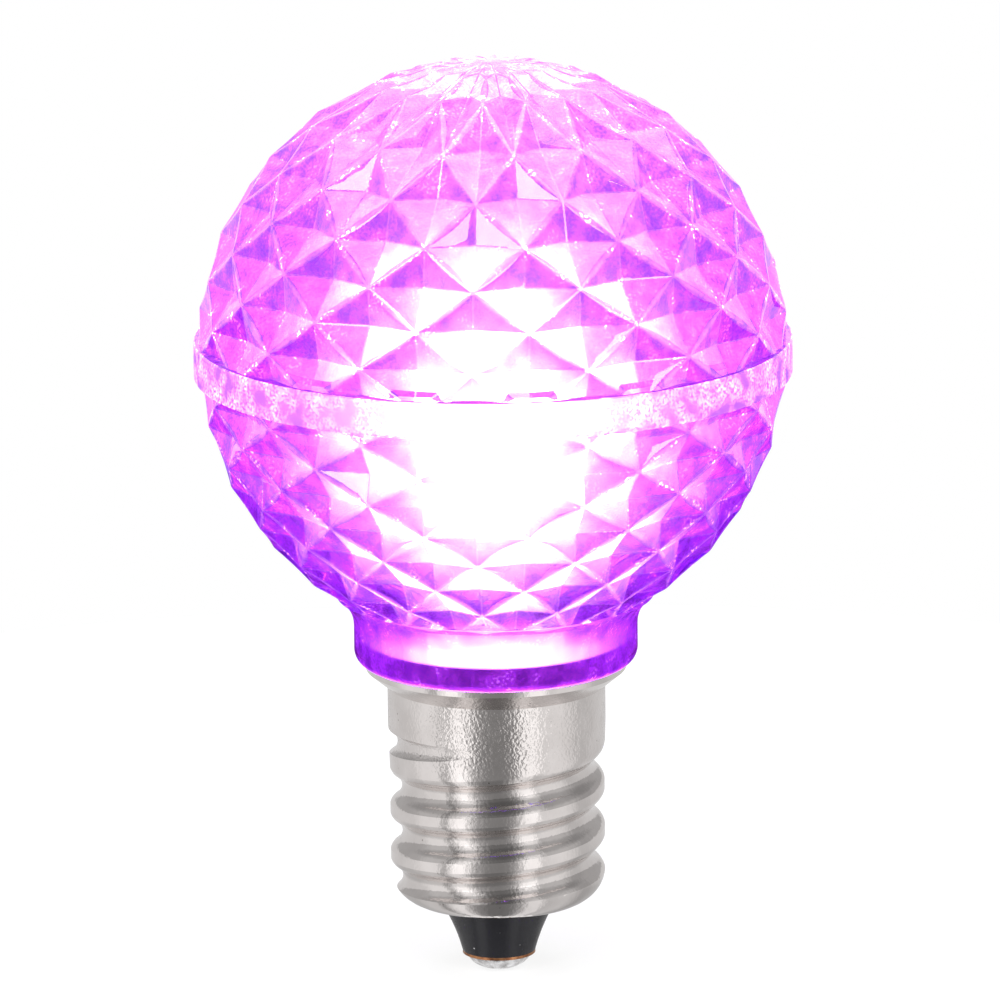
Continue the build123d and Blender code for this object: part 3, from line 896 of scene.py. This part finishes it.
class BulbLamps(bpy.types.Operator):
    """Finishes the lit windows, the housings and the boards"""

    bl_idname = "bulb.lamps"
    bl_label = "Lamps and boards"

    def execute(self, context):
        s = context.scene.bulb_lamps
        names = [f"{side}_{number}" for side in ("right", "back", "left", "front") for number in (1, 2)]
        lamps = (("window", s.window_strength, 0.15), ("housing", s.housing_strength, 0.4))
        for kind, strength, roughness in lamps:
            lit = self.lit_material(f"Lit {kind}", s, strength, roughness)
            finish_nodes(lit, *[f"led_{kind}_{name}" for name in names])
        board = self.lit_material("Lit board", s, s.board_strength, roughness=0.45, levels=BOARD_LEVELS)
        finish_nodes(board, "lamp_post", "base_board")
        return {"FINISHED"}

    def lit_material(self, name, s, strength, roughness, levels=None):
        """A pale surface that the lamps light up, all over or by its height, and brighter through the wall."""
        material, tree, shader, where = new_material(name, Roughness=roughness, Emission_Strength=s.light_strength)
        material.cycles.emission_sampling = "NONE"
        tone = grain(tree, where, 0.7, Low=0.75)
        shade = mix_colour(tree, tone, rgba(s.pale_dark), rgba(s.pale))
        path = place(tree, "ShaderNodeLightPath").outputs
        shown = math_node(tree, "MULTIPLY", tone, math_node(tree, "LESS_THAN", path["Diffuse Depth"], 0.5))
        share = math_node(tree, "MAXIMUM", path["Is Transmission Ray"], path["Is Glossy Ray"])
        through = {"Color": scaled(tree, s.through, shown), "Strength": strength}
        if levels:
            level = height_ramp(tree, where, levels)
            shown = math_node(tree, "MULTIPLY", shown, level)
            share = math_node(tree, "MULTIPLY", share, level)
            lit = math_node(tree, "GREATER_THAN", level, LIT_LEAST)
            shade = mix_colour(tree, lit, rgba(s.unlit), shade)
        tree.links.new(shade, shader.inputs["Base Color"])
        tree.links.new(scaled(tree, s.light, shown), shader.inputs["Emission Color"])
        show_mix(tree, share, shader, place(tree, "ShaderNodeEmission", through))
        bump(tree, shader, tone, distance=0.01 * MM)
        return material


# Parts inside the base: nodes, material, dark and pale colours, metal and least roughness
INNER_PARTS = (
    (("bridge_rectifier", "series_resistor"), "Black package", (0.02, 0.02, 0.02), (0.05, 0.05, 0.055), 0, 0.45),
    (("smoothing_capacitor",), "Blue sleeve", (0.02, 0.03, 0.10), (0.05, 0.07, 0.2), 0, 0.25),
    (("side_lead", "centre_lead"), "Tinned wire", (0.5, 0.5, 0.5), (0.75, 0.75, 0.76), 1, 0.25),
)


class BulbInnerParts(bpy.types.Operator):
    """Finishes the small parts and leads inside the base"""

    bl_idname = "bulb.inner_parts"
    bl_label = "Inner parts"

    def execute(self, context):
        for nodes, name, dark, pale, metal, least in INNER_PARTS:
            material, tree, shader, where = new_material(name, Metallic=metal)
            tone = grain(tree, where, 0.4)
            set_colour(tree, shader, tone, rgba(dark), rgba(pale))
            set_rough(tree, shader, tone, spread=0.1, least=least)
            bump(tree, shader, tone, distance=0.01 * MM)
            finish_nodes(material, *nodes)
        return {"FINISHED"}


# Stage


# Steps round the floor and the tent
STAGE_STEPS = 96
# Light of the world where it isn't seen, and share of plain white in the floor
WORLD_LIGHT = 0.5
FLOOR_WHITE = 0.8
FLOOR_RADIUS = 80 * MM
# Soft boxes: name, place and size in metres, and power in watts
SOFT_BOXES = (
    ("left_box", (-0.34, -0.46, 0.26), (0.16, 0.5), 4.0),
    ("right_box", (0.32, -0.50, 0.24), (0.2, 0.5), 4.0),
    ("top_box", (0.0, 0.1, 0.7), (0.6, 0.6), 4.4),
)
# Where the camera looks
CAMERA_AIM = Vector((0.297 * MM, 0, 10.15 * MM))
# The tent's gap over the floor, radius of its foot, wall and mouth, height of its lid, and colour
TENT_GAP = 0.05 * MM
TENT_FOOT = 2.5 * MM
TENT_RADIUS = 60 * MM
TENT_MOUTH = 7.3 * MM
TENT_LID = 1.2 * MM
TENT_COLOUR = (1.0, 0.99, 0.99)
# Share of the tent's greys by the distance from the axis and by the height, in millimetres
TENT_NEAR = [(2.5, 0.68), (12, 0.74), (18, 1.0), (60, 1.0)]
TENT_UNDER = [(-16.0, 1.0), (0.0, 1.0), (1.0, 0.65), (1.3, 0.65)]
# Greys of the tent by the turn from the front, in degrees
TENT_GREYS = [
    (-180, 0.72), (-118, 0.73), (-96, 0.79), (-86, 0.92), (-63, 0.98), (-55, 0.50), (-49, 1.00),
    (-42, 1.35), (-35, 1.40), (-29, 0.95), (-22, 0.48), (-10, 0.28), (2, 0.25), (10, 0.28),
    (16, 0.42), (22, 0.75), (28, 1.25), (39, 1.30), (46, 0.85), (54, 0.92), (68, 0.95),
    (80, 0.84), (92, 0.62), (103, 0.62), (115, 0.70), (180, 0.72),
]


class BulbStage(bpy.types.Operator):
    """Sets the floor, the light and the camera"""

    bl_idname = "bulb.stage"
    bl_label = "Stage"

    def execute(self, context):
        s = context.scene.bulb_stage
        self.make_world(context)
        self.make_floor(s)
        self.make_lights()
        self.make_tent()
        self.make_camera(context, s)
        context.scene.view_settings.view_transform = "Standard"
        return {"FINISHED"}

    def seen_plainly(self, tree):
        """1 for rays from the camera and for what shows in gloss and metal or through plastic, else 0."""
        path = place(tree, "ShaderNodeLightPath").outputs
        return chain(tree, "MAXIMUM", path["Is Camera Ray"], path["Is Glossy Ray"], path["Is Transmission Ray"])

    def make_world(self, context):
        """White where it is seen, and a soft light elsewhere."""
        world = bpy.data.worlds.new("Studio")
        world.use_nodes = True
        tree = world.node_tree
        tree.nodes.clear()
        strength = place(
            tree, "ShaderNodeMapRange", {"Value": self.seen_plainly(tree), "To Min": WORLD_LIGHT, "To Max": 1.0}
        )
        light = place(tree, "ShaderNodeBackground", {"Color": WHITE, "Strength": strength.outputs[0]})
        place(tree, "ShaderNodeOutputWorld", {"Surface": light.outputs[0]})
        world.cycles.sampling_method = "NONE"
        context.scene.world = world

    def make_floor(self, s):
        """A white floor that keeps a soft shadow."""
        material, tree, shader, where = new_material("White floor", Roughness=0.9, Specular_IOR_Level=0.0)
        tone = grain(tree, where, 40, Low=0.99)
        set_colour(tree, shader, tone, rgba(s.floor_dark), rgba(s.floor))
        glow = place(tree, "ShaderNodeEmission", {"Color": WHITE, "Strength": 1.0})
        show_mix(tree, math_node(tree, "MULTIPLY", self.seen_plainly(tree), FLOOR_WHITE), shader, glow)
        bm = bmesh.new()
        bmesh.ops.create_circle(bm, cap_ends=True, segments=STAGE_STEPS, radius=FLOOR_RADIUS)
        bmesh.ops.translate(bm, verts=bm.verts, vec=(0, 0, CAD_BOX[0][2]))
        floor = new_piece("studio_floor", bm, material)

    def make_lights(self):
        """Two soft boxes in front, and one above."""
        for name, spot, size, power in SOFT_BOXES:
            light = bpy.data.lights.new(name, "AREA")
            light.shape = "RECTANGLE"
            light.size, light.size_y = size
            light.energy = power
            lamp = bpy.data.objects.new(name, light)
            bpy.context.scene.collection.objects.link(lamp)
            lamp.location = spot
            lamp.rotation_euler = (-Vector(spot)).to_track_quat("-Z", "Y").to_euler()

    def make_tent(self):
        """A low grey tent round the screw base, seen only as reflections, with bright and dark stretches."""
        material, tree, shader, where = new_material(
            "Grey tent", Base_Color=rgba((0, 0, 0)), Specular_IOR_Level=0.0, Emission_Strength=1.0
        )
        material.cycles.emission_sampling = "NONE"
        x, y, _ = place(tree, "ShaderNodeSeparateXYZ", {0: where}).outputs
        turn = math_node(tree, "ARCTAN2", x, math_node(tree, "MULTIPLY", y, -1.0))
        reach = math_node(tree, "SQRT", weigh(tree, x, x, math_node(tree, "MULTIPLY", y, y)))
        grey = chain(
            tree,
            "MULTIPLY",
            ramp(tree, math_node(tree, "DEGREES", turn), TENT_GREYS),
            place(tree, "ShaderNodeNewGeometry").outputs["Backfacing"],
            ramp(tree, math_node(tree, "MULTIPLY", reach, 1 / MM), TENT_NEAR),
            height_ramp(tree, where, TENT_UNDER),
        )
        tree.links.new(scaled(tree, TENT_COLOUR, grey), shader.inputs["Emission Color"])
        floor = CAD_BOX[0][2] + TENT_GAP
        profile = [(TENT_FOOT, floor), (TENT_RADIUS, floor), (TENT_RADIUS, TENT_LID), (TENT_MOUTH, TENT_LID)]
        bm = bmesh.new()
        turned_profile(bm, profile, STAGE_STEPS, set(range(len(profile))), {})
        tent = new_piece("grey_tent", bm, material)
        tent.visible_camera = False
        tent.visible_diffuse = False
        tent.visible_shadow = False
        tent.visible_transmission = False

    def make_camera(self, context, s):
        """The photograph's view, from the front and a little above."""
        data = bpy.data.cameras.new("front_camera")
        data.lens = s.lens
        data.clip_start = 0.01
        camera = bpy.data.objects.new("front_camera", data)
        context.scene.collection.objects.link(camera)
        away = Vector((0, -cos(s.elevation), sin(s.elevation)))
        camera.location = CAMERA_AIM + away * s.distance
        turn = (-away).to_track_quat("-Z", "Y").to_matrix().to_4x4()
        camera.rotation_euler = (turn @ Matrix.Rotation(s.roll, 4, "Z")).to_euler()
        context.scene.camera = camera


class BulbPanel(bpy.types.Panel):
    """Lists the bulb's pieces and their settings"""

    bl_idname = "VIEW3D_PT_bulb"
    bl_label = "Faceted globe bulb"
    bl_space_type = "VIEW_3D"
    bl_region_type = "UI"
    bl_category = "Bulb"

    def draw(self, context):
        for operator in OPERATORS:
            self.layout.operator(operator.bl_idname)
        for key in SETTINGS:
            box = self.layout.box()
            group_settings = getattr(context.scene, key)
            for name in group_settings.__annotations__:
                box.prop(group_settings, name)


SETTINGS = {
    "bulb_globe": BulbGlobeSettings,
    "bulb_base": BulbBaseSettings,
    "bulb_lamps": BulbLampSettings,
    "bulb_stage": BulbStageSettings,
}
OPERATORS = (BulbGlobe, BulbShell, BulbContact, BulbLamps, BulbInnerParts, BulbStage)


def register():
    """Registers the settings, the operators and the panel."""
    for key, settings in SETTINGS.items():
        bpy.utils.register_class(settings)
        setattr(bpy.types.Scene, key, PointerProperty(type=settings))
    for cls in (*OPERATORS, BulbPanel):
        bpy.utils.register_class(cls)


def unregister():
    """Takes them away again."""
    for cls in (BulbPanel, *reversed(OPERATORS)):
        bpy.utils.unregister_class(cls)
    for key, settings in SETTINGS.items():
        delattr(bpy.types.Scene, key)
        bpy.utils.unregister_class(settings)


def main():
    """Builds every piece."""
    register()
    GROUPS["grain"] = build_grain_group()
    GROUPS["specks"] = build_speckle_group()
    for operator in OPERATORS:
        space, name = operator.bl_idname.split(".")
        getattr(getattr(bpy.ops, space), name)()


if __name__ == "__main__":
    main()
